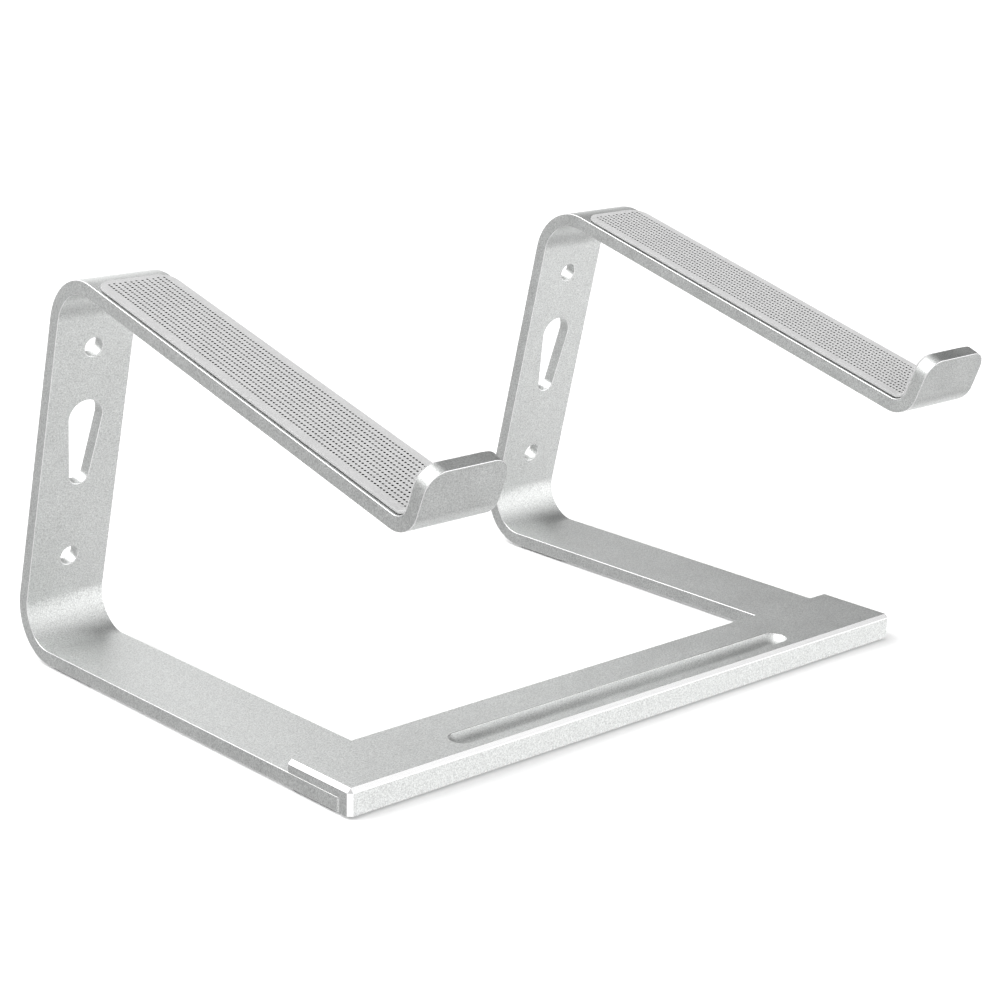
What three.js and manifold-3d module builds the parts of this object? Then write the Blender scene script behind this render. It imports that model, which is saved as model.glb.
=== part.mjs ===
// Tablet stand: two bent aluminium legs joined at the front by a crossbar with a pen groove.
// Millimetres. +X runs to the user's right, +Y from the user to the rear, +Z up.
// The origin is at the bottom centre of the whole stand. Each leg is one flat strip, bent three
// times: base, upright, sloping arm and front hook. The crossbar sits over the front ends of
// the bases and is held to them by countersunk screws from below.

import * as THREE from 'three';
import { mergeVertices } from 'three/addons/utils/BufferGeometryUtils.js';
import Module from 'manifold-3d';

const wasm = await Module();
wasm.setup();

// Whole stand
const standWidth = 260; // over the outer faces of the two legs
const fitGap = 0.3; // running clearance between pieces that are let into each other

// Leg strip, and its centre line in the side view, from the crossbar's front face
const stripWidth = 32;
const stripThickness = 5;
const baseReach = 192.5; // crossbar front to the corner under the upright
const uprightRise = 143.5; // height of the corner above the base's centre line
const uprightLean = degrees(13.5); // forward, from vertical
const armReach = 183.3; // horizontal
const armSlope = degrees(14.8); // down to the front
const hookLength = 22; // along the hook plate, from the arm's corner
const hookLean = degrees(21.5); // forward, from vertical
const rearBendRadius = 15.7; // bend radii on the strip's centre line
const topBendRadius = 18;
const hookBendRadius = 8;
const hookCornerRadius = 7;
const baseEndRadius = 1;

// Holes in the upright, measured down the strip from its top corner
const roundHoleRadius = 3.6;
const upperHoleDrop = 30;
const lowerHoleDrop = 113;
const slotDrop = 57.3; // centre of the slot's wide end
const slotLength = 22.4; // between the centres of its two ends
const slotWideRadius = 6.8;
const slotNarrowRadius = 4;

// Crossbar
const crossbarDepth = 31;
const topPlateThickness = 4.2; // over the legs' bases
const frontWall = 5.3; // in front of the legs' ends
const chamfer = 1.4;
const grooveLength = 160;
const grooveWidth = 10;
const grooveDepth = 2.6;
const grooveSetback = 10; // its centre line, from the crossbar's front face

// Silicone pads
const armPadThickness = 1;
const armPadInset = 1; // from the strip's side edges and from the hook's tip
const armPadTopMargin = 1; // from the end of the top bend
const armPadCornerRadius = 6;
const footThickness = 1;
const footInset = 1; // from the strip's side edges
const footCornerRadius = 3;
const frontFootSetback = 1.2; // from the front end of the base
const frontFootOverhang = 0.8; // past the crossbar's rear face
const rearFootLength = 28;
const footScrewHoleRadius = 3.8;

// Countersunk M3 screws, head down
const screwRadius = 1.5;
const screwHeadRadius = 3;
const screwHeadRim = 0.2;
const screwHeadHeight = 1.7;
const screwRecess = 0.2; // head below the base's underside
const screwTipChamfer = 0.4;
const screwClearance = 0.15; // round the screw, in the leg and in the tapped bore
const screwBoreRunout = 0.3; // tapped bore past the screw's tip
const screwBoreCover = 0.7; // of the top plate over each tapped bore
const socketAcrossFlats = 2;
const socketDepth = 1.1;
const screwSpread = 8; // front pair, each side of the leg's middle
const frontScrewSetback = 7; // from the front end of the base
const rearScrewSetback = 5.9; // from the crossbar's rear face

// Smoothness
const arcSegments = 6;
const roundSegments = 24;
const cutMargin = 2; // how far a cutting tool runs past the face that it opens

// Values worked out from those
const baseFront = frontWall + fitGap;
const baseBottom = footThickness;
const baseTop = baseBottom + stripThickness;
const crossbarTop = baseTop + topPlateThickness;
const screwBoreTop = crossbarTop - screwBoreCover;
const screwLength = screwBoreTop - screwBoreRunout - baseBottom - screwRecess;
const legOffset = (standWidth - stripWidth) / 2;

const baseStart = new THREE.Vector2(baseFront, baseBottom + stripThickness / 2);
const rearCorner = new THREE.Vector2(baseReach, baseStart.y);
const topCorner = rearCorner.clone()
  .add(new THREE.Vector2(-uprightRise * Math.tan(uprightLean), uprightRise));
const hookCorner = topCorner.clone()
  .add(new THREE.Vector2(-armReach, -armReach * Math.tan(armSlope)));
const hookDirection = new THREE.Vector2(-Math.sin(hookLean), Math.cos(hookLean));
const hookTip = hookCorner.clone().addScaledVector(hookDirection, hookLength);
const legLine = [baseStart, rearCorner, topCorner, hookCorner, hookTip];
const legRadii = [rearBendRadius, topBendRadius, hookBendRadius];
const [rearBend, topBend] = bendsOf(legLine, legRadii);

const xAxis = new THREE.Vector3(1, 0, 0);
const yAxis = new THREE.Vector3(0, 1, 0);
const zAxis = new THREE.Vector3(0, 0, 1);

const aluminium = material({ color: 0xc6cac9, metalness: 0.9, roughness: 0.45 });
const silicone = material({ color: 0x6d7072, metalness: 0, roughness: 0.85 });
const rubber = material({ color: 0x8a8d8f, metalness: 0, roughness: 0.9 });
const steel = material({ color: 0x9a9da0, metalness: 1, roughness: 0.3 });

function degrees(angle) {
  return THREE.MathUtils.degToRad(angle);
}

function material(look) {
  return new THREE.MeshStandardMaterial({ ...look, flatShading: true });
}

// --- Solids: three.js geometry to manifold-3d and back ---

function toSolid(geometry) {
  const bare = geometry.clone();
  bare.deleteAttribute('normal');
  bare.deleteAttribute('uv');
  const welded = mergeVertices(bare);
  return new wasm.Manifold(new wasm.Mesh({
    numProp: 3,
    vertProperties: welded.attributes.position.array,
    triVerts: new Uint32Array(welded.index.array),
  }));
}

function toGeometry(solid) {
  const mesh = solid.getMesh();
  const geometry = new THREE.BufferGeometry();
  geometry.setAttribute('position', new THREE.BufferAttribute(mesh.vertProperties, 3));
  geometry.setIndex(new THREE.BufferAttribute(mesh.triVerts, 1));
  return geometry;
}

function cutAway(solid, tools) {
  return tools.reduce((rest, tool) => rest.subtract(toSolid(tool)), solid);
}

// --- Strips that follow a bent line in the side view ---

function leftOf(direction) {
  return new THREE.Vector2(-direction.y, direction.x);
}

// The arc that rounds each inner corner of a line: its centre, radius, turn and end angles.
function bendsOf(corners, radii) {
  return radii.map((radius, index) => {
    const [before, corner, after] = corners.slice(index, index + 3);
    const arriving = corner.clone().sub(before).normalize();
    const leaving = after.clone().sub(corner).normalize();
    const turn = Math.sign(arriving.cross(leaving));
    const angle = Math.acos(arriving.dot(leaving));
    const setback = radius * Math.tan(angle / 2);
    const start = corner.clone().addScaledVector(arriving, -setback);
    const centre = start.clone().addScaledVector(leftOf(arriving), turn * radius);
    const startAngle = start.clone().sub(centre).angle();
    return { centre, radius, turn, setback, startAngle, endAngle: startAngle + turn * angle };
  });
}

// Outline of the band between two offsets to the left of a bent line.
function bandShape(corners, radii, lowOffset, highOffset) {
  const bends = bendsOf(corners, radii);
  const first = corners[0];
  const last = corners[corners.length - 1];
  const startSide = leftOf(corners[1].clone().sub(first).normalize());
  const endSide = leftOf(last.clone().sub(corners[corners.length - 2]).normalize());
  const shape = new THREE.Shape();
  const corner = (point, side, offset) => {
    const place = point.clone().addScaledVector(side, offset);
    return [place.x, place.y];
  };
  shape.moveTo(...corner(first, startSide, highOffset));
  shape.lineTo(...corner(first, startSide, lowOffset));
  for (const { centre, radius, turn, startAngle, endAngle } of bends) {
    shape.absarc(centre.x, centre.y, radius - turn * lowOffset, startAngle, endAngle, turn < 0);
  }
  shape.lineTo(...corner(last, endSide, lowOffset));
  shape.lineTo(...corner(last, endSide, highOffset));
  for (const { centre, radius, turn, startAngle, endAngle } of bends.toReversed()) {
    shape.absarc(centre.x, centre.y, radius - turn * highOffset, endAngle, startAngle, turn > 0);
  }
  shape.closePath();
  return shape;
}

// A side-view shape (Y to the right, Z up) made `width` wide, centred on X = 0.
function acrossX(shape, width) {
  return extruded(shape, width).applyMatrix4(new THREE.Matrix4().makeBasis(yAxis, zAxis, xAxis));
}

// A shape extruded along its own Z, centred on its plane.
function extruded(shape, depth) {
  const options = { depth, bevelEnabled: false, curveSegments: arcSegments };
  return new THREE.ExtrudeGeometry(shape, options).translate(0, 0, -depth / 2);
}

// --- Tools for cutting through a stretch of strip ---

// Frame on the strip's centre line: X across the strip, Y along it towards `to`.
function stripFrame(from, to) {
  const direction = to.clone().sub(from).normalize();
  const along = new THREE.Vector3(0, direction.x, direction.y);
  const normal = xAxis.clone().cross(along);
  return new THREE.Matrix4().makeBasis(xAxis, along, normal).setPosition(0, from.x, from.y);
}

// Tool that rounds one corner of a strip's end: `side` is 1 for +X and -1 for -X.
function endCornerTool(width, end, radius, side) {
  const edge = width / 2;
  const shape = new THREE.Shape();
  shape.moveTo(side * (edge - radius), end + cutMargin);
  shape.lineTo(side * (edge + cutMargin), end + cutMargin);
  shape.lineTo(side * (edge + cutMargin), end - radius);
  shape.lineTo(side * edge, end - radius);
  const startAngle = side > 0 ? 0 : Math.PI;
  shape.absarc(side * (edge - radius), end - radius, radius, startAngle, Math.PI / 2, side < 0);
  shape.closePath();
  return shape;
}

function endCornerTools(frame, width, end, radius, depth) {
  const shapes = [-1, 1].map((side) => endCornerTool(width, end, radius, side));
  return shapes.map((shape) => extruded(shape, depth).applyMatrix4(frame));
}

// --- Leg ---

function teardrop(wide, narrow, length) {
  const tilt = Math.asin((wide - narrow) / length);
  const shape = new THREE.Shape();
  shape.absarc(0, 0, wide, -tilt, Math.PI + tilt, false);
  shape.absarc(0, -length, narrow, Math.PI + tilt, 2 * Math.PI - tilt, false);
  shape.closePath();
  return shape;
}

function circle(x, y, radius) {
  const shape = new THREE.Shape();
  shape.absarc(x, y, radius, 0, 2 * Math.PI, false);
  return shape;
}

function uprightTools() {
  const frame = stripFrame(topCorner, rearCorner.clone().lerp(topCorner, 2));
  const shapes = [
    circle(0, -upperHoleDrop, roundHoleRadius),
    circle(0, -lowerHoleDrop, roundHoleRadius),
  ];
  const slot = teardrop(slotWideRadius, slotNarrowRadius, slotLength);
  const slotTool = extruded(slot, 2 * stripThickness).translate(0, -slotDrop, 0);
  const holeTools = shapes.map((shape) => extruded(shape, 2 * stripThickness));
  return [...holeTools, slotTool].map((tool) => tool.applyMatrix4(frame));
}

// Rounds the upper edge of the base's front end.
function baseEndTool() {
  const shape = new THREE.Shape();
  const front = baseFront - cutMargin;
  const roundCentre = baseFront + baseEndRadius;
  shape.moveTo(baseFront, baseTop - baseEndRadius);
  shape.absarc(roundCentre, baseTop - baseEndRadius, baseEndRadius, Math.PI, Math.PI / 2, true);
  shape.lineTo(roundCentre, baseTop + cutMargin);
  shape.lineTo(front, baseTop + cutMargin);
  shape.lineTo(front, baseTop - baseEndRadius);
  shape.closePath();
  return acrossX(shape, stripWidth + 2 * cutMargin);
}

function legGeometry() {
  const half = stripThickness / 2;
  const strip = toSolid(acrossX(bandShape(legLine, legRadii, -half, half), stripWidth));
  const hookFrame = stripFrame(hookCorner, hookTip);
  return toGeometry(cutAway(strip, [
    ...uprightTools(),
    ...endCornerTools(hookFrame, stripWidth, hookLength, hookCornerRadius, 2 * stripThickness),
    baseEndTool(),
    ...screwPlaces().map(([x, y]) => countersinkTool().translate(x, y, baseBottom)),
  ]));
}

// --- Screws, and the holes they need ---

// Screw axes in one leg's base, from the leg's middle plane and the crossbar's front face.
function screwPlaces() {
  return [
    [-screwSpread, baseFront + frontScrewSetback],
    [screwSpread, baseFront + frontScrewSetback],
    [0, crossbarDepth - rearScrewSetback],
  ];
}

// A solid turned about Z from [radius, height] points that start and end on the axis.
function turned(points) {
  const profile = points.map(([radius, height]) => new THREE.Vector2(radius, height));
  return new THREE.LatheGeometry(profile, roundSegments).rotateX(Math.PI / 2);
}

function screwGeometry() {
  const body = turned([
    [0, 0],
    [screwHeadRadius, 0],
    [screwHeadRadius, screwHeadRim],
    [screwRadius, screwHeadHeight],
    [screwRadius, screwLength - screwTipChamfer],
    [screwRadius - screwTipChamfer, screwLength],
    [0, screwLength],
  ]);
  const socketRadius = socketAcrossFlats / Math.sqrt(3);
  const socket = new THREE.CylinderGeometry(socketRadius, socketRadius, 2 * socketDepth, 6)
    .rotateX(Math.PI / 2);
  return toGeometry(cutAway(toSolid(body), [socket]));
}

function countersinkTool() {
  const shankRadius = screwRadius + screwClearance;
  const headRadius = screwHeadRadius + screwClearance;
  const coneTop = screwRecess + screwHeadHeight;
  return turned([
    [0, -cutMargin],
    [headRadius, -cutMargin],
    [headRadius, screwRecess + screwHeadRim],
    [shankRadius, coneTop],
    [shankRadius, stripThickness + cutMargin],
    [0, stripThickness + cutMargin],
  ]);
}

// --- Crossbar ---

function polygon(points) {
  return new THREE.Shape(points.map(([x, y]) => new THREE.Vector2(x, y)));
}

// The bar is what three outlines share: each one carries the chamfers seen from its side.
function chamferedBar() {
  const half = standWidth / 2;
  const side = polygon([
    [0, baseBottom],
    [crossbarDepth, baseBottom],
    [crossbarDepth, crossbarTop],
    [chamfer, crossbarTop],
    [0, crossbarTop - chamfer],
  ]);
  const front = polygon([
    [-half, baseBottom],
    [half, baseBottom],
    [half, crossbarTop - chamfer],
    [half - chamfer, crossbarTop],
    [chamfer - half, crossbarTop],
    [-half, crossbarTop - chamfer],
  ]);
  const plan = polygon([
    [chamfer - half, 0],
    [half - chamfer, 0],
    [half, chamfer],
    [half, crossbarDepth],
    [-half, crossbarDepth],
    [-half, chamfer],
  ]);
  const frontPrism = extruded(front, 4 * crossbarDepth).rotateX(Math.PI / 2);
  const planPrism = extruded(plan, 4 * crossbarTop);
  return toSolid(acrossX(side, standWidth))
    .intersect(toSolid(frontPrism))
    .intersect(toSolid(planPrism));
}

// Room for one leg's end, open to the outside, to the rear and below.
function pocketTool(side) {
  const width = stripWidth + fitGap + cutMargin;
  const depth = crossbarDepth - frontWall + cutMargin;
  const height = stripThickness + cutMargin;
  const tool = new THREE.BoxGeometry(width, depth, height);
  const innerFace = legOffset - stripWidth / 2 - fitGap;
  return tool.translate(
    side * (innerFace + width / 2),
    frontWall + depth / 2,
    baseTop - height / 2,
  );
}

// Ball-ended channel for a pen.
function grooveTool() {
  const halfWidth = grooveWidth / 2;
  const radius = (halfWidth ** 2 + grooveDepth ** 2) / (2 * grooveDepth);
  const straight = grooveLength / 2 - halfWidth;
  const profile = new THREE.Path();
  profile.moveTo(0, -straight - radius);
  profile.absarc(0, -straight, radius, -Math.PI / 2, 0, false);
  profile.absarc(0, straight, radius, 0, Math.PI / 2, false);
  const tool = new THREE.LatheGeometry(profile.getPoints(arcSegments), 2 * roundSegments);
  return tool.rotateZ(Math.PI / 2)
    .translate(0, grooveSetback, crossbarTop + radius - grooveDepth);
}

function screwBoreTool(side, x, y) {
  const radius = screwRadius + screwClearance;
  const bottom = baseTop - cutMargin;
  const height = screwBoreTop - bottom;
  const tool = new THREE.CylinderGeometry(radius, radius, height, roundSegments);
  return tool.rotateX(Math.PI / 2).translate(side * legOffset + x, y, bottom + height / 2);
}

function crossbarGeometry() {
  const sides = [-1, 1];
  const bores = sides.flatMap((side) => screwPlaces().map(([x, y]) => screwBoreTool(side, x, y)));
  return toGeometry(cutAway(chamferedBar(), [grooveTool(), ...sides.map(pocketTool), ...bores]));
}

// --- Pads ---

// Liner on the arm's upper face, round the inside of the hook bend and up the hook.
function armPadGeometry() {
  const armUp = topCorner.clone().sub(hookCorner).normalize();
  const armLength = topCorner.distanceTo(hookCorner);
  const padRun = armLength - topBend.setback - armPadTopMargin;
  const padTop = hookCorner.clone().addScaledVector(armUp, padRun);
  const hookEnd = hookLength - armPadInset;
  const padTip = hookCorner.clone().addScaledVector(hookDirection, hookEnd);
  const low = -(stripThickness / 2 + fitGap + armPadThickness);
  const high = -(stripThickness / 2 + fitGap);
  const line = [padTop, hookCorner, padTip];
  const width = stripWidth - 2 * armPadInset;
  const pad = toSolid(acrossX(bandShape(line, [hookBendRadius], low, high), width));
  const depth = 3 * stripThickness;
  return toGeometry(cutAway(pad, [
    ...endCornerTools(stripFrame(hookCorner, padTip), width, hookEnd, armPadCornerRadius, depth),
    ...endCornerTools(stripFrame(hookCorner, padTop), width, padRun, armPadCornerRadius, depth),
  ]));
}

function roundedRectangle(left, right, front, rear, radius) {
  const shape = new THREE.Shape();
  shape.absarc(right - radius, front + radius, radius, -Math.PI / 2, 0, false);
  shape.absarc(right - radius, rear - radius, radius, 0, Math.PI / 2, false);
  shape.absarc(left + radius, rear - radius, radius, Math.PI / 2, Math.PI, false);
  shape.absarc(left + radius, front + radius, radius, Math.PI, 1.5 * Math.PI, false);
  shape.closePath();
  return shape;
}

// Foot under one leg's base, from `front` to `rear`, with a hole round each listed screw.
function footGeometry(front, rear, holes) {
  const edge = stripWidth / 2 - footInset;
  const shape = roundedRectangle(-edge, edge, front, rear, footCornerRadius);
  shape.holes = holes.map(([x, y]) => circle(x, y, footScrewHoleRadius));
  return extruded(shape, footThickness).translate(0, 0, footThickness / 2);
}

// --- Assembly ---

function piece(name, geometry, look, position = [0, 0, 0]) {
  const mesh = new THREE.Mesh(geometry, look);
  mesh.name = name;
  mesh.position.set(...position);
  return mesh;
}

function legAssembly(sideName, side) {
  const frontFootStart = baseFront + frontFootSetback;
  const rearFootEnd = rearBend.centre.x;
  const frontFootEnd = crossbarDepth + frontFootOverhang;
  const frontFoot = footGeometry(frontFootStart, frontFootEnd, screwPlaces());
  const rearFoot = footGeometry(rearFootEnd - rearFootLength, rearFootEnd, []);
  const assembly = new THREE.Group();
  assembly.position.x = side * legOffset;
  assembly.add(
    piece(`${sideName}_leg`, legGeometry(), aluminium),
    piece(`${sideName}_arm_pad`, armPadGeometry(), silicone),
    piece(`${sideName}_front_foot`, frontFoot, rubber),
    piece(`${sideName}_rear_foot`, rearFoot, rubber),
  );
  screwPlaces().forEach(([x, y], index) => {
    const place = [x, y, baseBottom + screwRecess];
    assembly.add(piece(`${sideName}_screw_${index + 1}`, screwGeometry(), steel, place));
  });
  return assembly;
}

const standFront = hookTip.x - (stripThickness / 2) * Math.cos(hookLean);
const standRear = rearBend.centre.x + rearBend.radius + stripThickness / 2;

const stand = new THREE.Group();
stand.position.y = -(standFront + standRear) / 2;
stand.add(
  piece('crossbar', crossbarGeometry(), aluminium),
  legAssembly('left', -1),
  legAssembly('right', 1),
);

export default stand;
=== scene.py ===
"""Looks of the tablet stand: bead-blasted aluminium legs and crossbar, silicone liners and feet.

Metres, in the row frame: X to the user's right, Y to the rear, Z up, floor at Z = 0.
"""

import itertools
import math

import bmesh
import bpy
from mathutils import Euler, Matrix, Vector
from mathutils.geometry import delaunay_2d_cdt


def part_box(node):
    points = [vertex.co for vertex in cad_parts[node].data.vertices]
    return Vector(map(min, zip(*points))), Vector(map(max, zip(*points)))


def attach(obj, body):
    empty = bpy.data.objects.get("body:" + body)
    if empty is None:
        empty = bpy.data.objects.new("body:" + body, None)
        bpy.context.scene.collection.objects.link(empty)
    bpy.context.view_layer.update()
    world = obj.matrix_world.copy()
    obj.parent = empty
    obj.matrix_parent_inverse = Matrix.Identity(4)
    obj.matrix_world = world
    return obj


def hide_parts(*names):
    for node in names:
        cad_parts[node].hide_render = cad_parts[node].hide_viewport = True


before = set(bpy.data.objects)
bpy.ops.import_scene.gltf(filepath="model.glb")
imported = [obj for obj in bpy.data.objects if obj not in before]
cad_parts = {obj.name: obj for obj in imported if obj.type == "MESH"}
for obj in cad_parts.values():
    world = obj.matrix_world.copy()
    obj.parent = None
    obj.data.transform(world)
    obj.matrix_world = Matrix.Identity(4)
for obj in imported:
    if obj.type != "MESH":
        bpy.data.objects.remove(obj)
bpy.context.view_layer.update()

MM = 0.001
SIDES = ("left", "right")

# The sizes from here to "Detail" are the CAD's

# Leg strip
STRIP_WIDTH = 32 * MM
STRIP_THICKNESS = 5 * MM
FIT_GAP = 0.3 * MM
BASE_REACH = 192.5 * MM  # from the crossbar's front to the corner under the upright
UPRIGHT_RISE = 143.5 * MM
UPRIGHT_LEAN = math.radians(13.5)
ARM_REACH = 183.3 * MM
ARM_SLOPE = math.radians(14.8)
HOOK_LENGTH = 22 * MM
HOOK_LEAN = math.radians(21.5)
REAR_BEND_RADIUS = 15.7 * MM
TOP_BEND_RADIUS = 18 * MM
HOOK_BEND_RADIUS = 8 * MM
HOOK_CORNER_RADIUS = 7 * MM
BASE_CORNER_RADIUS = 1 * MM
ROUND_HOLE_RADIUS = 3.6 * MM
UPPER_HOLE_DROP = 30 * MM
LOWER_HOLE_DROP = 113 * MM
SLOT_DROP = 57.3 * MM
SLOT_LENGTH = 22.4 * MM
SLOT_WIDE_RADIUS = 6.8 * MM
SLOT_NARROW_RADIUS = 4 * MM

# Crossbar
FRONT_WALL = 5.3 * MM
BAR_CHAMFER = 1.4 * MM
GROOVE_LENGTH = 160 * MM
GROOVE_WIDTH = 10 * MM
GROOVE_DEPTH = 2.6 * MM
GROOVE_SETBACK = 10 * MM

# Pads
PAD_THICKNESS = 1 * MM
PAD_CORNER_RADIUS = 6 * MM
FOOT_CORNER_RADIUS = 3 * MM
FOOT_SCREW_HOLE_RADIUS = 3.8 * MM

# Screws
SCREW_RADIUS = 1.5 * MM
SCREW_HEAD_RADIUS = 3 * MM
SCREW_HEAD_RIM = 0.2 * MM
SCREW_HEAD_HEIGHT = 1.7 * MM
SCREW_CLEARANCE = 0.15 * MM
SCREW_RECESS = 0.2 * MM
SCREW_TIP_CHAMFER = 0.4 * MM
SOCKET_ACROSS_FLATS = 2 * MM
SOCKET_DEPTH = 1.1 * MM

# Detail
EDGE_BREAK = 0.24 * MM  # bright-cut edge of the legs
BAR_EDGE_BREAK = 0.15 * MM
PAD_RIM = 0.25 * MM
FOOT_RIM = 0.15 * MM
SCREW_HEAD_BREAK = 0.08 * MM
DIMPLE_PITCH = 1.45 * MM  # along the arm
DIMPLE_ROW_PITCH = 2.2 * MM  # across it
DIMPLE_SHIFT = 0.25  # of every other row, in pitches
DIMPLE_BORDER = 1.8 * MM
DIMPLE_RADIUS = 0.45 * MM
DIMPLE_DEPTH = 0.35 * MM
DIMPLE_SIDES = 8
DIMPLE_FLOOR_SHARE = 0.7  # floor's width, of the rim's
DIMPLE_WALL_SLOPE = math.radians(25.5)  # of its shading, as a bowl's wall

# Fineness and margins
EDGE_STEPS = 3
BEND_STEP = math.radians(3)
CIRCLE_STEP = math.radians(6)
GROOVE_TURNS = 72
GROOVE_RINGS = 24
CUT_MARGIN = 2 * MM  # how far a cutting tool runs past the face that it opens
WELD = 1e-7  # points closer than this are one
NORMAL_DIGITS = 3

# Places in a piece's list of materials
PLAIN = 0
ACCENT = 1

bar_low, bar_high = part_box("crossbar")


# --- Node helpers ---


class Shader:
    """A material's node tree, with the few nodes that these finishes are made of."""

    NOISE_RANGE = (0.3, 0.7)  # where nearly all of a noise's values lie

    def __init__(self, name, **sockets):
        self.material = bpy.data.materials.new(name)
        self.material.use_nodes = True
        self.tree = self.material.node_tree
        self.surface = self.tree.nodes["Principled BSDF"]
        for socket, value in sockets.items():
            self.surface.inputs[socket.replace("_", " ")].default_value = value
        self.place = self.tree.nodes.new("ShaderNodeTexCoord").outputs["Object"]

    def link(self, output, target):
        self.tree.links.new(output, target)

    def noise(self, size, detail, stretch=(1, 1, 1)):
        """Noise whose grains are about `size` metres across."""
        mapping = self.tree.nodes.new("ShaderNodeMapping")
        mapping.inputs["Scale"].default_value = stretch
        self.link(self.place, mapping.inputs["Vector"])
        node = self.tree.nodes.new("ShaderNodeTexNoise")
        node.inputs["Scale"].default_value = 1 / size
        node.inputs["Detail"].default_value = detail
        self.link(mapping.outputs["Vector"], node.inputs["Vector"])
        return node.outputs["Fac"]

    def spread(self, value, low, high):
        """A noise's range, as low to high."""
        node = self.tree.nodes.new("ShaderNodeMapRange")
        node.inputs["From Min"].default_value = self.NOISE_RANGE[0]
        node.inputs["From Max"].default_value = self.NOISE_RANGE[1]
        node.inputs["To Min"].default_value = low
        node.inputs["To Max"].default_value = high
        self.link(value, node.inputs["Value"])
        return node.outputs["Result"]

    def colour(self, value, low, high):
        """Blend from colour `low` to colour `high` over a noise's range."""
        ramp = self.tree.nodes.new("ShaderNodeValToRGB")
        stops = zip(ramp.color_ramp.elements, self.NOISE_RANGE, (low, high))
        for element, position, colour in stops:
            element.position = position
            element.color = (*colour, 1)
        self.link(value, ramp.inputs["Fac"])
        return ramp.outputs["Color"]

    def times(self, first, second):
        """One colour times the other."""
        node = self.tree.nodes.new("ShaderNodeMix")
        node.data_type = "RGBA"
        node.blend_type = "MULTIPLY"
        node.inputs["Factor"].default_value = 1
        self.link(first, node.inputs["A"])
        self.link(second, node.inputs["B"])
        return node.outputs["Result"]

    def bump(self, height, depth):
        """Normals of a relief that is `depth` metres deep."""
        node = self.tree.nodes.new("ShaderNodeBump")
        node.inputs["Distance"].default_value = depth
        self.link(height, node.inputs["Height"])
        return node.outputs["Normal"]

    def finish(self, colour=None, roughness=None, normal=None):
        """The material, with these outputs linked to its surface."""
        for output, socket in ((colour, "Base Color"), (roughness, "Roughness"), (normal, "Normal")):
            if output:
                self.link(output, self.surface.inputs[socket])
        return self.material


def grey(value, tint=(1, 1, 1)):
    return tuple(value * share for share in tint)


def blasted_aluminium():
    """Anodised aluminium with the fine grain that bead blasting leaves."""
    shader = Shader("blasted_aluminium", Metallic=1.0)
    grain = shader.noise(0.42 * MM, detail=2)
    cloud = shader.noise(9 * MM, detail=3)
    tint = (0.985, 1.0, 0.99)
    colour = shader.times(
        shader.colour(grain, grey(0.58, tint), grey(0.93, tint)),
        shader.colour(cloud, grey(0.96), grey(1.0)),
    )
    normal = shader.bump(grain, 0.05 * MM)
    return shader.finish(colour, shader.spread(cloud, 0.44, 0.5), normal)


def bright_cut_aluminium():
    """Edges cut bright after blasting, with the cutter's faint streaks."""
    shader = Shader("bright_cut_aluminium", Metallic=1.0)
    lines = shader.noise(0.5 * MM, detail=3, stretch=(0.08, 1, 1))
    colour = shader.colour(lines, grey(0.9), grey(0.98))
    return shader.finish(colour, shader.spread(lines, 0.16, 0.24), shader.bump(lines, 0.002 * MM))


def liner_silicone():
    """Matt grey silicone with a little dust on it."""
    shader = Shader("liner_silicone", Specular_IOR_Level=0.35)
    dust = shader.noise(0.5 * MM, detail=4)
    cloud = shader.noise(6 * MM, detail=3)
    colour = shader.times(
        shader.colour(dust, grey(0.44), grey(0.54)),
        shader.colour(cloud, grey(0.94), grey(1.0)),
    )
    return shader.finish(colour, shader.spread(dust, 0.55, 0.68), shader.bump(dust, 0.012 * MM))


def dimple_painted_shade():
    """The same silicone in the bottom of its dimples, painted nearly black there as painted shade."""
    shader = Shader("dimple_painted_shade", Specular_IOR_Level=0.2)
    # this noise only speckles the painted shade
    dust = shader.noise(0.5 * MM, detail=4)
    colour = shader.colour(dust, grey(0.05), grey(0.1))
    return shader.finish(colour, shader.spread(dust, 0.7, 0.85), shader.bump(dust, 0.01 * MM))


def foot_rubber():
    """Darker and duller than the liners."""
    shader = Shader("foot_rubber", Specular_IOR_Level=0.3)
    dust = shader.noise(0.6 * MM, detail=4)
    cloud = shader.noise(7 * MM, detail=2)
    colour = shader.times(
        shader.colour(dust, grey(0.26), grey(0.34)),
        shader.colour(cloud, grey(0.9), grey(1.0)),
    )
    return shader.finish(colour, shader.spread(dust, 0.68, 0.82), shader.bump(dust, 0.02 * MM))


def screw_steel():
    """Plated steel, a little dull."""
    shader = Shader("screw_steel", Metallic=1.0)
    dust = shader.noise(0.15 * MM, detail=3)
    colour = shader.colour(dust, grey(0.42), grey(0.55))
    return shader.finish(colour, shader.spread(dust, 0.25, 0.38), shader.bump(dust, 0.004 * MM))


def floor_finish():
    """Matt studio paper."""
    shader = Shader("studio_floor", Roughness=0.9, Specular_IOR_Level=0.1)
    paper = shader.noise(2 * MM, detail=3)
    return shader.finish(shader.colour(paper, grey(0.93), grey(0.95)))


ALUMINIUM = blasted_aluminium()
BRIGHT = bright_cut_aluminium()
SILICONE = liner_silicone()
# painted shade for the dimples' walls and floors
DIMPLE_PAINTED_SHADE = dimple_painted_shade()
RUBBER = foot_rubber()
STEEL = screw_steel()


# --- Meshes that carry their own normals ---


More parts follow.
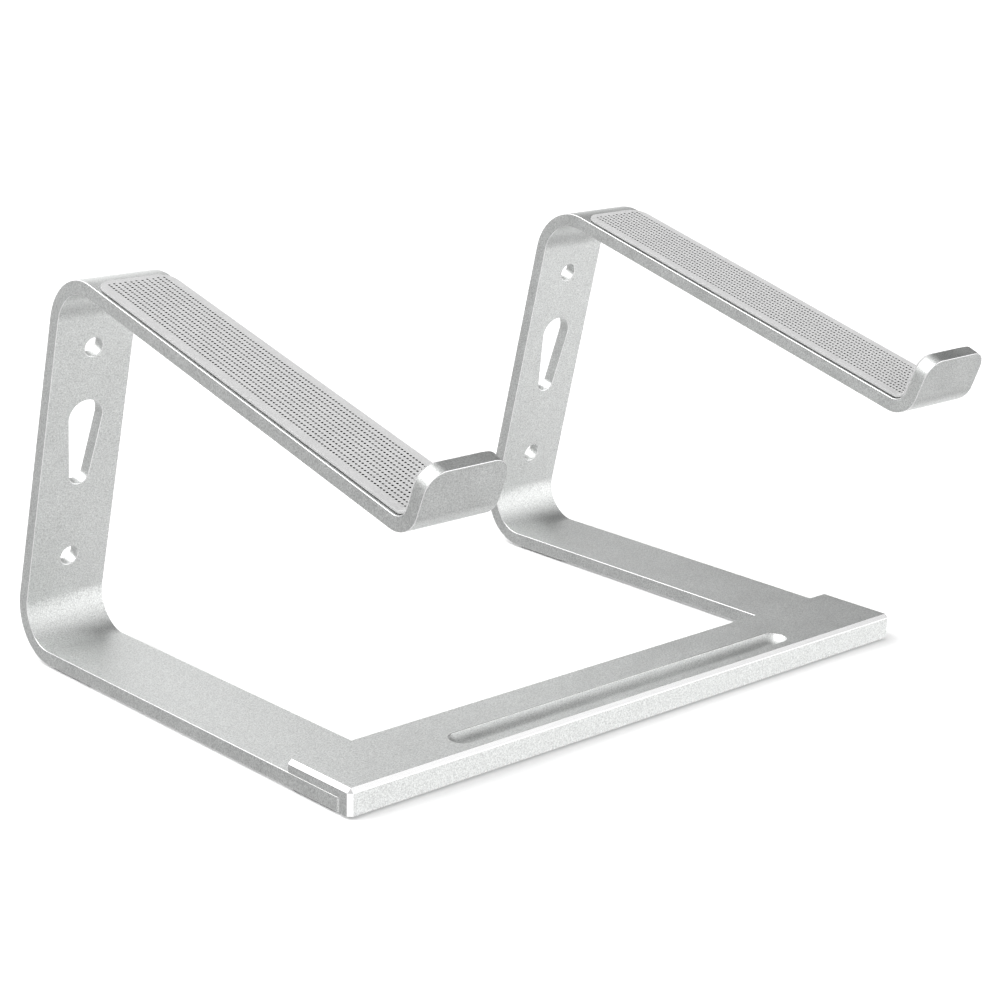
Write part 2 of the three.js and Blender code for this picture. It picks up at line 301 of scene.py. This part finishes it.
class Skin:
    """A mesh built point by point, where a point is shared only where its normal is the same."""

    def __init__(self, to_space):
        self.to_space = to_space  # (point, normal) in the flat to (point, normal) in the frame
        self.index = {}
        self.points = []
        self.normals = []
        self.faces = []
        self.looks = []

    def corner(self, point, normal):
        """Index of the mesh point there with that normal."""
        spot = tuple(round(value / WELD) for value in point)
        key = spot + tuple(round(value, NORMAL_DIGITS) for value in normal)
        if key not in self.index:
            place, facing = self.to_space(Vector(point), Vector(normal))
            self.index[key] = len(self.points)
            self.points.append(place)
            self.normals.append(facing.normalized())
        return self.index[key]

    def face(self, corners, look=PLAIN):
        """A face through those points, unless they have run together."""
        distinct = list(dict.fromkeys(corners))
        if len(distinct) > 2:
            self.faces.append(distinct)
            self.looks.append(look)

    def make(self, name, materials):
        """The object, in the scene."""
        mesh = bpy.data.meshes.new(name)
        mesh.from_pydata(self.points, [], self.faces)
        for material in materials:
            mesh.materials.append(material)
        mesh.polygons.foreach_set("material_index", self.looks)
        mesh.polygons.foreach_set("use_smooth", [True] * len(self.faces))
        mesh.normals_split_custom_set_from_vertices(self.normals)
        mesh.update()
        piece = bpy.data.objects.new(name, mesh)
        bpy.context.scene.collection.objects.link(piece)
        return piece


def arc(centre, radius, start, end, outward=1):
    """Points on an arc with their normals: `outward` is 1 away from the centre, -1 towards it."""
    count = max(1, math.ceil(abs(end - start) / CIRCLE_STEP))
    angles = [start + (end - start) * i / count for i in range(count + 1)]
    rays = [Vector((math.cos(angle), math.sin(angle))) for angle in angles]
    return [(centre + ray * radius, ray * outward) for ray in rays]


def circle(centre, radius):
    """The rim of a hole, clockwise, with normals into the hole."""
    return arc(centre, radius, 2 * math.pi, 0, outward=-1)[:-1]


def teardrop(centre, wide, narrow, length):
    """The rim of a slot with a wide end at `centre` and a narrow end `length` before it."""
    tilt = math.asin((wide - narrow) / length)
    far = centre - Vector((0, length))
    return (
        arc(centre, wide, math.pi + tilt, -tilt, outward=-1)
        + arc(far, narrow, -tilt, tilt - math.pi, outward=-1)
    )


def rounded_outline(left, right, low, high, low_radius, high_radius):
    """An anticlockwise outline with normals out of it."""
    quarter = math.pi / 2
    rounds = (
        ((right - low_radius, low + low_radius), low_radius, -quarter),
        ((right - high_radius, high - high_radius), high_radius, 0),
        ((left + high_radius, high - high_radius), high_radius, quarter),
        ((left + low_radius, low + low_radius), low_radius, 2 * quarter),
    )
    points = []
    for centre, radius, start in rounds:
        points += arc(Vector(centre), radius, start, start + quarter)
    return points


def with_crossings(outline, levels):
    """The outline with a point wherever it crosses one of the levels of its second coordinate."""
    result = []
    for (start, normal), (end, end_normal) in zip(outline, outline[1:] + outline[:1]):
        result.append((start, normal))
        low, high = sorted((start.y, end.y))
        inside = [level for level in levels if low + WELD < level < high - WELD]
        for level in sorted(inside, reverse=start.y > end.y):
            share = (level - start.y) / (end.y - start.y)
            result.append((start.lerp(end, share), normal.lerp(end_normal, share).normalized()))
    return result


def edge_profile(thickness, round_radius):
    """Stations up a wall with both edges rounded, each as (height, inset, slope of the normal)."""
    half = thickness / 2
    upper = []
    for i in range(EDGE_STEPS + 1):
        angle = math.pi / 2 * i / EDGE_STEPS
        height = half - round_radius + round_radius * math.sin(angle)
        upper.append((height, round_radius * (1 - math.cos(angle)), angle))
    lower = [(-height, inset, -angle) for height, inset, angle in reversed(upper)]
    return lower + upper


def add_wall(skin, outline, profile, edge_look=PLAIN):
    """The wall along an outline, up a profile, with its rounded edges in `edge_look`."""
    rows = []
    for height, inset, slope in profile:
        row = []
        for point, normal in outline:
            flat = point - normal * inset
            facing = (*(normal * math.cos(slope)), math.sin(slope))
            row.append(skin.corner((*flat, height), facing))
        rows.append(row)
    for (below, above), (start, end) in zip(zip(rows, rows[1:]), zip(profile, profile[1:])):
        start_slope, end_slope = start[2], end[2]
        look = edge_look if start_slope != end_slope else PLAIN
        for i in range(len(outline)):
            j = (i + 1) % len(outline)
            skin.face([below[i], below[j], above[j], above[i]], look)


def add_cap(skin, contours, height, side, levels=()):
    """A flat face between contours of points, the first one round the others, cut at the levels.

    It faces up if `side` is 1 and down if it is -1. Every contour but the first is a convex hole.
    """
    points = []
    owners = []  # the contour that each point is on
    edges = []
    for number, contour in enumerate(contours):
        start = len(points)
        count = len(contour)
        points += contour
        owners += [number] * count
        edges += [(start + i, start + (i + 1) % count) for i in range(count)]
    outer = contours[0]
    for level in levels:
        on_level = [i for i, point in enumerate(outer) if abs(point.y - level) < WELD]
        if len(on_level) == 2:
            edges.append(tuple(on_level))
    verts, _, faces, origins, _, _ = delaunay_2d_cdt(points, edges, [], 1, WELD)
    for face in faces:
        on = {owners[origins[i][0]] if origins[i] else 0 for i in face}
        if len(on) == 1 and 0 not in on:  # inside a hole
            continue
        corners = [skin.corner((*verts[i], height), (0, 0, side)) for i in face]
        skin.face(corners if side > 0 else corners[::-1])


def inset_points(outline, inset=0):
    """The outline's points without their normals, moved against them by `inset`."""
    return [point - normal * inset for point, normal in outline]


def add_slab(skin, outlines, thickness, edge_radius):
    """A plate of that thickness about its middle plane, with rounded edges on every outline."""
    for outline in outlines:
        add_wall(skin, outline, edge_profile(thickness, edge_radius))
    contours = [inset_points(outline, edge_radius) for outline in outlines]
    for side in (-1, 1):
        add_cap(skin, contours, side * thickness / 2, side)


# --- The strip's bent line ---


class BentLine:
    """A line in the side view (Y, Z) with rounded corners, measured along itself."""

    def __init__(self, corners, radii):
        self.stretches = []  # (start, length, first point, first heading, curvature)
        self.corner_at = [0.0]  # how far along the start, each corner and the end are
        self.bend_ends = []
        here = corners[0]
        run = 0.0
        for index, radius in enumerate(radii):
            before, corner, after = corners[index:index + 3]
            arriving = (corner - before).normalized()
            leaving = (after - corner).normalized()
            turn = math.atan2(arriving.x * leaving.y - arriving.y * leaving.x, arriving.dot(leaving))
            setback = radius * math.tan(abs(turn) / 2)
            heading = math.atan2(arriving.y, arriving.x)
            straight = (corner - here).length - setback
            self.stretches.append((run, straight, here, heading, 0.0))
            run += straight
            self.corner_at.append(run + setback)
            bend_start = corner - arriving * setback
            length = radius * abs(turn)
            self.stretches.append((run, length, bend_start, heading, math.copysign(1 / radius, turn)))
            run += length
            self.bend_ends.append(run)
            here = corner + leaving * setback
        end = corners[-1] - here
        self.stretches.append((run, end.length, here, math.atan2(end.y, end.x), 0.0))
        self.length = run + end.length
        self.corner_at.append(self.length)

    def place(self, s, offset):
        """Point at s along the line and `offset` to its left, and the heading there."""
        for start, length, point, heading, curvature in self.stretches:
            if s <= start + length:
                break
        angle = heading + curvature * (s - start)
        left = Vector((-math.sin(angle), math.cos(angle)))
        if curvature:
            first_left = Vector((-math.sin(heading), math.cos(heading)))
            centre = point + first_left / curvature
            return centre - left / curvature + left * offset, angle
        ahead = Vector((math.cos(angle), math.sin(angle)))
        return point + ahead * (s - start) + left * offset, angle

    def levels(self):
        """Where a strip along the line has to be cut across so that its bends come out round."""
        cuts = []
        for start, length, _, _, curvature in self.stretches:
            if curvature:
                count = math.ceil(length * abs(curvature) / BEND_STEP)
                cuts += [start + length * i / count for i in range(count + 1)]
        return cuts


def leg_line():
    """Centre line of the leg's strip in (Y, Z), as the CAD has it."""
    front = bar_low.y
    start = Vector((front + FRONT_WALL + FIT_GAP, bar_low.z + STRIP_THICKNESS / 2))
    rear = Vector((front + BASE_REACH, start.y))
    top = rear + Vector((-UPRIGHT_RISE * math.tan(UPRIGHT_LEAN), UPRIGHT_RISE))
    hook = top + Vector((-ARM_REACH, -ARM_REACH * math.tan(ARM_SLOPE)))
    tip = hook + Vector((-math.sin(HOOK_LEAN), math.cos(HOOK_LEAN))) * HOOK_LENGTH
    radii = [REAR_BEND_RADIUS, TOP_BEND_RADIUS, HOOK_BEND_RADIUS]
    return BentLine([start, rear, top, hook, tip], radii)


def bent_to(line, middle_x):
    """The map from flat strip coordinates (across, along, up) to the frame."""
    def to_space(point, normal):
        place, angle = line.place(point.y, point.z)
        ahead = Vector((0, math.cos(angle), math.sin(angle)))
        left = Vector((0, -math.sin(angle), math.cos(angle)))
        facing = Vector((normal.x, 0, 0)) + ahead * normal.y + left * normal.z
        return Vector((middle_x + point.x, *place)), facing
    return to_space


def lying_at(middle):
    """The map for a flat piece: (across, along, up) from a middle point."""
    def to_space(point, normal):
        return middle + point, normal
    return to_space


# --- Pieces ---


def declare(piece, node):
    """Puts the piece on the root body and hides the CAD node that it stands for."""
    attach(piece, "root")
    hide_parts(node)
    return piece


def middle_of(node):
    low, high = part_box(node)
    return (low + high) / 2


def screw_nodes(side):
    return [f"{side}_screw_{number}" for number in (1, 2, 3)]


def countersink_profiles():
    """Walls of a screw hole from the underside up, as insets from the shank's clearance hole."""
    half = STRIP_THICKNESS / 2
    head = SCREW_HEAD_RADIUS - SCREW_RADIUS
    cone = math.atan2(SCREW_HEAD_HEIGHT - SCREW_HEAD_RIM, head)
    rim_top = -half + SCREW_RECESS + SCREW_HEAD_RIM
    cone_top = -half + SCREW_RECESS + SCREW_HEAD_HEIGHT
    return (
        [(-half, head, 0), (rim_top, head, 0)],
        [(rim_top, head, -cone), (cone_top, 0, -cone)],
        [(cone_top, 0, 0), (half, 0, 0)],
    )


def upright_openings(line):
    """Rims of the upright's two round holes and of the cable slot, with its wide end up."""
    top_corner = line.corner_at[2]
    rims = [
        circle(Vector((0, top_corner - drop)), ROUND_HOLE_RADIUS)
        for drop in (UPPER_HOLE_DROP, LOWER_HOLE_DROP)
    ]
    wide_end = Vector((0, top_corner - SLOT_DROP))
    rims.append(teardrop(wide_end, SLOT_WIDE_RADIUS, SLOT_NARROW_RADIUS, SLOT_LENGTH))
    return rims


def make_leg(side):
    """The bent strip, cut bright round its outline and openings, with countersunk screw holes."""
    node = f"{side}_leg"
    middle = middle_of(node)
    line = leg_line()
    levels = line.levels()
    half = STRIP_WIDTH / 2
    skin = Skin(bent_to(line, middle.x))
    outline = rounded_outline(-half, half, 0, line.length, BASE_CORNER_RADIUS, HOOK_CORNER_RADIUS)
    rims = [with_crossings(outline, levels), *upright_openings(line)]
    for rim in rims:
        add_wall(skin, rim, edge_profile(STRIP_THICKNESS, EDGE_BREAK), edge_look=ACCENT)
    contours = [inset_points(rim, EDGE_BREAK) for rim in rims]
    front = line.place(0, 0)[0].x
    shanks = []
    for name in screw_nodes(side):
        place = middle_of(name)
        centre = Vector((place.x - middle.x, place.y - front))
        shanks.append(circle(centre, SCREW_RADIUS + SCREW_CLEARANCE))
    for rim in shanks:
        for profile in countersink_profiles():
            add_wall(skin, rim, profile)
    below = [inset_points(rim, SCREW_HEAD_RADIUS - SCREW_RADIUS) for rim in shanks]
    above = [inset_points(rim) for rim in shanks]
    add_cap(skin, contours + below, -STRIP_THICKNESS / 2, -1, levels)
    add_cap(skin, contours + above, STRIP_THICKNESS / 2, 1, levels)
    return declare(skin.make(f"{side}_leg_strip", [ALUMINIUM, BRIGHT]), node)


def make_arm_pad(side):
    """Liner on the arm and the hook, dimpled all over inside a plain border."""
    node = f"{side}_arm_pad"
    low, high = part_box(node)
    line = leg_line()
    surface = -(STRIP_THICKNESS / 2 + FIT_GAP + PAD_THICKNESS / 2)
    half = (high.x - low.x) / 2
    inset = STRIP_WIDTH / 2 - half
    start = line.bend_ends[1] + inset  # past the top bend
    end = line.length - inset
    radius = PAD_CORNER_RADIUS
    levels = [level for level in line.levels() if start < level < end]
    to_strip = bent_to(line, (low.x + high.x) / 2)
    skin = Skin(lambda point, normal: to_strip(point + Vector((0, 0, surface)), normal))
    outline = with_crossings(rounded_outline(-half, half, start, end, radius, radius), levels)
    add_wall(skin, outline, edge_profile(PAD_THICKNESS, PAD_RIM))
    contour = inset_points(outline, PAD_RIM)
    add_cap(skin, [contour], PAD_THICKNESS / 2, 1, levels)
    dimples = [
        inset_points(with_crossings(rim, levels)) for rim in dimple_rims(half, start, end)
    ]
    add_cap(skin, [contour, *dimples], -PAD_THICKNESS / 2, -1, levels)
    for rim in dimples:
        add_dimple(skin, rim)
    # the second material paints the dimples dark: painted shade
    return declare(skin.make(f"{side}_arm_liner", [SILICONE, DIMPLE_PAINTED_SHADE]), node)


def dimple_rims(half, start, end):
    """Small round rims in rows along the arm, clear of the pad's border and its rounded corners."""
    clear = PAD_CORNER_RADIUS - DIMPLE_BORDER - DIMPLE_RADIUS
    rows = int(half / DIMPLE_ROW_PITCH)
    count = int((end - start) / DIMPLE_PITCH)
    rims = []
    for row in range(-rows, rows + 1):
        for i in range(count):
            along = start + (i + DIMPLE_SHIFT * (row % 2)) * DIMPLE_PITCH
            centre = Vector((row * DIMPLE_ROW_PITCH, along))
            past_side = abs(centre.x) - (half - PAD_CORNER_RADIUS)
            past_start = start + PAD_CORNER_RADIUS - along
            past_end = along - (end - PAD_CORNER_RADIUS)
            if math.hypot(max(0.0, past_side), max(0.0, past_start, past_end)) < clear:
                rims.append(ring(centre, DIMPLE_RADIUS, DIMPLE_SIDES))
    return rims


def ring(centre, radius, count):
    """A rim of `count` sides, anticlockwise, with normals out of it."""
    turns = [2 * math.pi * (i + 0.5) / count for i in range(count)]
    rays = [Vector((math.cos(turn), math.sin(turn))) for turn in turns]
    return [(centre + ray * radius, ray) for ray in rays]


def add_dimple(skin, rim):
    """A small bowl sunk into the pad's exposed face, which is its lower one, painted dark as painted
    shade.
    """
    face = -PAD_THICKNESS / 2
    bottom = face + DIMPLE_DEPTH
    centre = sum(rim, Vector((0, 0))) / len(rim)
    floor = [centre.lerp(point, DIMPLE_FLOOR_SHARE) for point in rim]
    for i in range(len(rim)):
        j = (i + 1) % len(rim)
        corners = []
        for point, height in ((rim[i], face), (rim[j], face), (floor[j], bottom), (floor[i], bottom)):
            inward = (centre - point).normalized() * math.cos(DIMPLE_WALL_SLOPE)
            corners.append(skin.corner((*point, height), (*inward, -math.sin(DIMPLE_WALL_SLOPE))))
        skin.face(corners, ACCENT)
    skin.face([skin.corner((*point, bottom), (0, 0, -1)) for point in reversed(floor)], ACCENT)


def make_foot(side, end):
    """A thin pad with rounded corners, open round the screws if it is under the crossbar."""
    node = f"{side}_{end}_foot"
    middle = middle_of(node)
    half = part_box(node)[1] - middle
    radius = FOOT_CORNER_RADIUS
    outline = rounded_outline(-half.x, half.x, -half.y, half.y, radius, radius)
    holes = []
    if end == "front":
        for name in screw_nodes(side):
            offset = middle_of(name) - middle
            holes.append(circle(Vector((offset.x, offset.y)), FOOT_SCREW_HOLE_RADIUS))
    skin = Skin(lying_at(middle))
    add_slab(skin, [outline, *holes], 2 * half.z, FOOT_RIM)
    return declare(skin.make(f"{side}_{end}_foot_pad", [RUBBER]), node)


def make_screw(name):
    """Countersunk screw, head down, with its hex socket."""
    low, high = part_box(name)
    seat = Vector(((low.x + high.x) / 2, (low.y + high.y) / 2, low.z))
    length = high.z - low.z
    stations = (
        (SCREW_HEAD_RADIUS - SCREW_HEAD_BREAK, 0),
        (SCREW_HEAD_RADIUS, SCREW_HEAD_BREAK),
        (SCREW_HEAD_RADIUS, SCREW_HEAD_RIM),
        (SCREW_RADIUS, SCREW_HEAD_HEIGHT),
        (SCREW_RADIUS, length - SCREW_TIP_CHAMFER),
        (SCREW_RADIUS - SCREW_TIP_CHAMFER, length),
    )
    skin = Skin(lying_at(seat))
    rays = [ray for _, ray in arc(Vector((0, 0)), 1, 0, 2 * math.pi)[:-1]]
    for (radius, height), (next_radius, next_height) in zip(stations, stations[1:]):
        slope = math.atan2(radius - next_radius, next_height - height)
        profile = [(height, 0, slope), (next_height, radius - next_radius, slope)]
        add_wall(skin, [(ray * radius, ray) for ray in rays], profile)
    head, tip = ([ray * radius for ray in rays] for radius, _ in (stations[0], stations[-1]))
    socket = inset_points(ring(Vector((0, 0)), SOCKET_ACROSS_FLATS / math.sqrt(3), 6))
    add_cap(skin, [head, socket], 0, -1)
    add_socket(skin, socket)
    add_cap(skin, [tip], length, 1)
    return declare(skin.make(f"{name}_steel", [STEEL]), name)


def add_socket(skin, rim):
    """Flat walls up from the rim, and the bottom that they end at."""
    for a, b in zip(rim, rim[1:] + rim[:1]):
        inward = -((a + b) / 2).normalized()
        corners = [(*a, 0), (*a, SOCKET_DEPTH), (*b, SOCKET_DEPTH), (*b, 0)]
        skin.face([skin.corner(corner, (*inward, 0)) for corner in corners])
    skin.face([skin.corner((*point, SOCKET_DEPTH), (0, 0, -1)) for point in reversed(rim)])


# --- Crossbar: a solid cut by others, then its edges broken ---


def solid(name, points):
    """A convex solid round the points, with its coplanar faces joined."""
    flat = 0.001
    shape = bmesh.new()
    for point in points:
        shape.verts.new(point)
    bmesh.ops.convex_hull(shape, input=shape.verts)
    bmesh.ops.dissolve_limit(shape, angle_limit=flat, verts=shape.verts, edges=shape.edges)
    mesh = bpy.data.meshes.new(name)
    shape.to_mesh(mesh)
    shape.free()
    piece = bpy.data.objects.new(name, mesh)
    bpy.context.scene.collection.objects.link(piece)
    return piece


def box_points(low, high):
    return list(itertools.product(*zip(low, high)))


def chamfered_bar_points():
    """Corners of the bar, chamfered along the top of its front and ends and down its front edges."""
    cut = BAR_CHAMFER
    points = []
    for side, edge in ((-1, bar_low.x), (1, bar_high.x)):
        for z in (bar_low.z, bar_high.z - cut):
            points.append((edge, bar_low.y + cut, z))
            points.append((edge, bar_high.y, z))
            points.append((edge - side * cut, bar_low.y, z))
        points.append((edge - side * cut, bar_low.y + cut, bar_high.z))
        points.append((edge - side * cut, bar_high.y, bar_high.z))
    return points


def pocket_points(side):
    """Room for a leg's end, open to the outside, to the rear and below."""
    low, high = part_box(f"{side}_leg")
    if side == "left":
        left, right = bar_low.x - CUT_MARGIN, high.x + FIT_GAP
    else:
        left, right = low.x - FIT_GAP, bar_high.x + CUT_MARGIN
    front, rear = bar_low.y + FRONT_WALL, bar_high.y + CUT_MARGIN
    bottom, ceiling = bar_low.z - CUT_MARGIN, bar_low.z + STRIP_THICKNESS
    return box_points((left, front, bottom), (right, rear, ceiling))


def groove_points():
    """Two balls and what lies between them: the pen channel's cutting tool."""
    half = GROOVE_WIDTH / 2
    radius = (half ** 2 + GROOVE_DEPTH ** 2) / (2 * GROOVE_DEPTH)
    straight = GROOVE_LENGTH / 2 - half
    centre = Vector((0, bar_low.y + GROOVE_SETBACK, bar_high.z + radius - GROOVE_DEPTH))
    points = []
    for i in range(GROOVE_RINGS + 1):
        tilt = math.pi / 2 * i / GROOVE_RINGS
        for j in range(GROOVE_TURNS):
            turn = 2 * math.pi * (j + 0.5) / GROOVE_TURNS
            along = math.sin(tilt) * radius + straight
            across = math.cos(tilt) * math.cos(turn) * radius
            up = math.cos(tilt) * math.sin(turn) * radius
            points.append(centre + Vector((along, across, up)))
            points.append(centre + Vector((-along, across, up)))
    return points


def cut_away(piece, tool):
    """Takes the tool's shape out of the piece, and the tool out of the scene."""
    modifier = piece.modifiers.new("cut", "BOOLEAN")
    modifier.operation = "DIFFERENCE"
    modifier.solver = "EXACT"
    modifier.object = tool
    apply_modifiers(piece)
    bpy.data.objects.remove(tool)


def apply_modifiers(piece):
    evaluated = piece.evaluated_get(bpy.context.evaluated_depsgraph_get())
    mesh = bpy.data.meshes.new_from_object(evaluated)
    piece.modifiers.clear()
    piece.data = mesh


def break_edges(piece, width):
    """Rounds every sharp edge a little, in the accent material."""
    modifier = piece.modifiers.new("edges", "BEVEL")
    modifier.width = width
    modifier.segments = 2
    modifier.limit_method = "ANGLE"
    modifier.angle_limit = math.radians(28)
    modifier.material = ACCENT
    modifier.use_clamp_overlap = False
    modifier.harden_normals = True
    apply_modifiers(piece)


def is_chamfer(face):
    """Whether the face is one of the bar's flat slanting ones, and not a facet of the groove."""
    slant = 0.4
    margin = 1 * MM
    slanting = sum(abs(value) > slant for value in face.normal) > 1
    beside_groove = abs(face.center.x) < GROOVE_LENGTH / 2 + margin
    in_groove = beside_groove and face.center.y > bar_low.y + BAR_CHAMFER
    return slanting and face.area > margin * margin and not in_groove


def make_crossbar():
    """The bar with its pockets and groove, and with bright chamfers."""
    bar = solid("crossbar_body", chamfered_bar_points())
    for side in SIDES:
        cut_away(bar, solid("pocket_tool", pocket_points(side)))
    cut_away(bar, solid("groove_tool", groove_points()))
    bar.data.materials.append(ALUMINIUM)
    bar.data.materials.append(BRIGHT)
    for face in bar.data.polygons:
        face.material_index = ACCENT if is_chamfer(face) else PLAIN
    bar.data.shade_smooth()
    break_edges(bar, BAR_EDGE_BREAK)
    return declare(bar, "crossbar")


# --- Camera, floor and lights ---


def add_camera():
    """At the photograph's viewing angle."""
    azimuth = math.radians(-42.44)
    elevation = math.radians(14.03)
    roll = math.radians(1.16)
    distance = 0.811
    target = Vector((-0.0221, bar_low.y + 0.0536, 0.1058))
    back = Vector((
        math.sin(azimuth) * math.cos(elevation),
        -math.cos(azimuth) * math.cos(elevation),
        math.sin(elevation),
    ))
    data = bpy.data.cameras.new("camera")
    data.sensor_width = 36
    data.lens = 85.6
    data.shift_y = -0.1
    data.clip_start = 0.01
    camera = bpy.data.objects.new("camera", data)
    camera.location = target + back * distance
    camera.rotation_mode = "QUATERNION"
    upright = (-back).to_track_quat("-Z", "Y")
    camera.rotation_quaternion = upright @ Euler((0, 0, roll)).to_quaternion()
    bpy.context.scene.collection.objects.link(camera)
    bpy.context.scene.camera = camera


def add_floor():
    """A wide pale floor, which the metal doesn't reflect: its reflections are the room's."""
    reach = 25
    corners = [(x * reach, y * reach, 0) for x, y in ((-1, -1), (1, -1), (1, 1), (-1, 1))]
    floor = bpy.data.meshes.new("floor")
    floor.from_pydata(corners, [], [(0, 1, 2, 3)])
    floor.materials.append(floor_finish())
    piece = bpy.data.objects.new("floor", floor)
    bpy.context.scene.collection.objects.link(piece)
    piece.visible_glossy = False


def add_sky():
    """Even, very soft light from above, for the floor and the pieces that aren't metal."""
    data = bpy.data.lights.new("sky", "SUN")
    data.energy = 0.9
    data.angle = math.radians(120)
    light = bpy.data.objects.new("sky", data)
    light.location = (0, 0, 2)
    light.visible_glossy = False
    bpy.context.scene.collection.objects.link(light)


ROOM_LEVEL = 0.8
BACKDROP_LEVEL = 1.0
# What the metal reflects: soft patches of light and shade in the studio, added to its level, each
# as (direction, half angle in degrees, gain)
ROOM_PATCHES = (
    ((0.65, -0.73, -0.1), 50, 0.8),  # tall reflector, front right
    ((-0.72, -0.65, -0.3), 32, 0.4),  # low reflector, front left
    ((-0.47, 0.36, 0.8), 38, 3.0),  # softbox above the rear left
    ((0.1, 0.95, 0.25), 58, 0.6),  # bright wall, rear
    ((0.45, -0.5, 0.74), 35, 0.3),  # strip light, front right
    ((0.78, 0.28, 0.54), 44, -0.78),  # dark ceiling, right
    ((-0.66, 0.72, -0.2), 48, -0.42),  # dark wall, rear left
    ((0.7, -0.34, -0.63), 34, -0.62),  # shaded floor, right
    ((0.6, 0.32, -0.73), 42, 0.55),  # pale tabletop, rear right
    ((-0.8, -0.6, 0.3), 45, -0.25),  # dim curtain, front left
    ((0.05, -0.1, 1.0), 34, -0.35),  # dim ceiling, overhead
)


def add_room():
    """The studio round the stand, as light by direction."""
    world = bpy.data.worlds.new("studio")
    world.use_nodes = True
    nodes = world.node_tree.nodes
    links = world.node_tree.links
    ray = nodes.new("ShaderNodeTexCoord").outputs["Generated"]
    total = None
    for direction, half_angle, gain in ROOM_PATCHES:
        dot = nodes.new("ShaderNodeVectorMath")
        dot.operation = "DOT_PRODUCT"
        dot.inputs[1].default_value = Vector(direction).normalized()
        links.new(ray, dot.inputs[0])
        patch = nodes.new("ShaderNodeMapRange")
        patch.interpolation_type = "SMOOTHERSTEP"
        patch.inputs["From Min"].default_value = math.cos(math.radians(half_angle))
        patch.inputs["From Max"].default_value = 1
        patch.inputs["To Max"].default_value = gain
        links.new(dot.outputs["Value"], patch.inputs["Value"])
        add = nodes.new("ShaderNodeMath")
        add.inputs[0].default_value = ROOM_LEVEL
        if total:
            links.new(total, add.inputs[0])
        links.new(patch.outputs["Result"], add.inputs[1])
        total = add.outputs["Value"]
    seen = nodes.new("ShaderNodeMix")  # the camera itself sees a plain backdrop
    seen.inputs["B"].default_value = BACKDROP_LEVEL
    links.new(nodes.new("ShaderNodeLightPath").outputs["Is Camera Ray"], seen.inputs["Factor"])
    links.new(total, seen.inputs["A"])
    background = nodes["Background"]
    background.inputs["Color"].default_value = (1, 1, 1, 1)
    links.new(seen.outputs["Result"], background.inputs["Strength"])
    bpy.context.scene.world = world


def set_view():
    """Plain colours, without a film curve."""
    bpy.context.scene.view_settings.view_transform = "Standard"
    bpy.context.scene.view_settings.look = "None"


add_camera()
add_floor()
add_room()
add_sky()
set_view()

make_crossbar()
for side in SIDES:
    make_leg(side)
    make_arm_pad(side)
    make_foot(side, "front")
    make_foot(side, "rear")
    for name in screw_nodes(side):
        make_screw(name)
